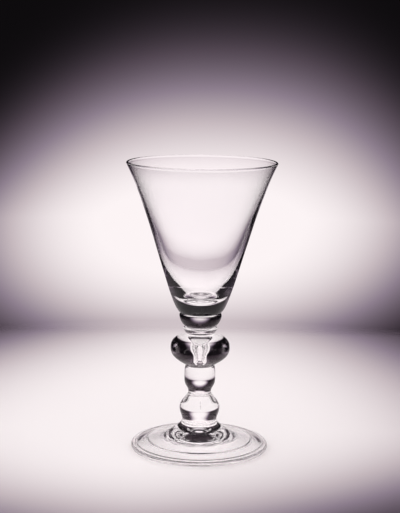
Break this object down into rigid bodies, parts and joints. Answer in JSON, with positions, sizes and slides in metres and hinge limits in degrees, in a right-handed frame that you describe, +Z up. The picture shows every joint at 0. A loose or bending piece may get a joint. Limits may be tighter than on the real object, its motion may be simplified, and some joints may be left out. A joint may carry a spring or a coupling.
{
  "type": "goblet",
  "caption": "Tall drinking glass: flared funnel bowl on a solid base, stem of knops with an air tear, and a conical foot with a folded rim.",
  "frame": {"origin": "on the axis of the stem, at the plane that the foot rests on", "axes": "+Z up along the axis of the stem to the mouth of the bowl; +X and +Y are any two square directions, because the glass is round"},
  "size_m": [0.1028, 0.1028, 0.2],
  "materials": {
    "bowl_glass": "clear fire polished lead glass, thin at the rim",
    "stem_glass": "clear solid lead glass with tool marks at the welds",
    "foot_glass": "clear lead glass with light swirls and wear under the rim"
  },
  "bodies": {
    "root": {"bowl": "bowl_glass", "neck_knop": "stem_glass", "collar": "stem_glass", "cushion_knop": "stem_glass", "bobbin_knop": "stem_glass", "base_knop": "stem_glass", "foot": "foot_glass"}
  },
  "joints": []
}
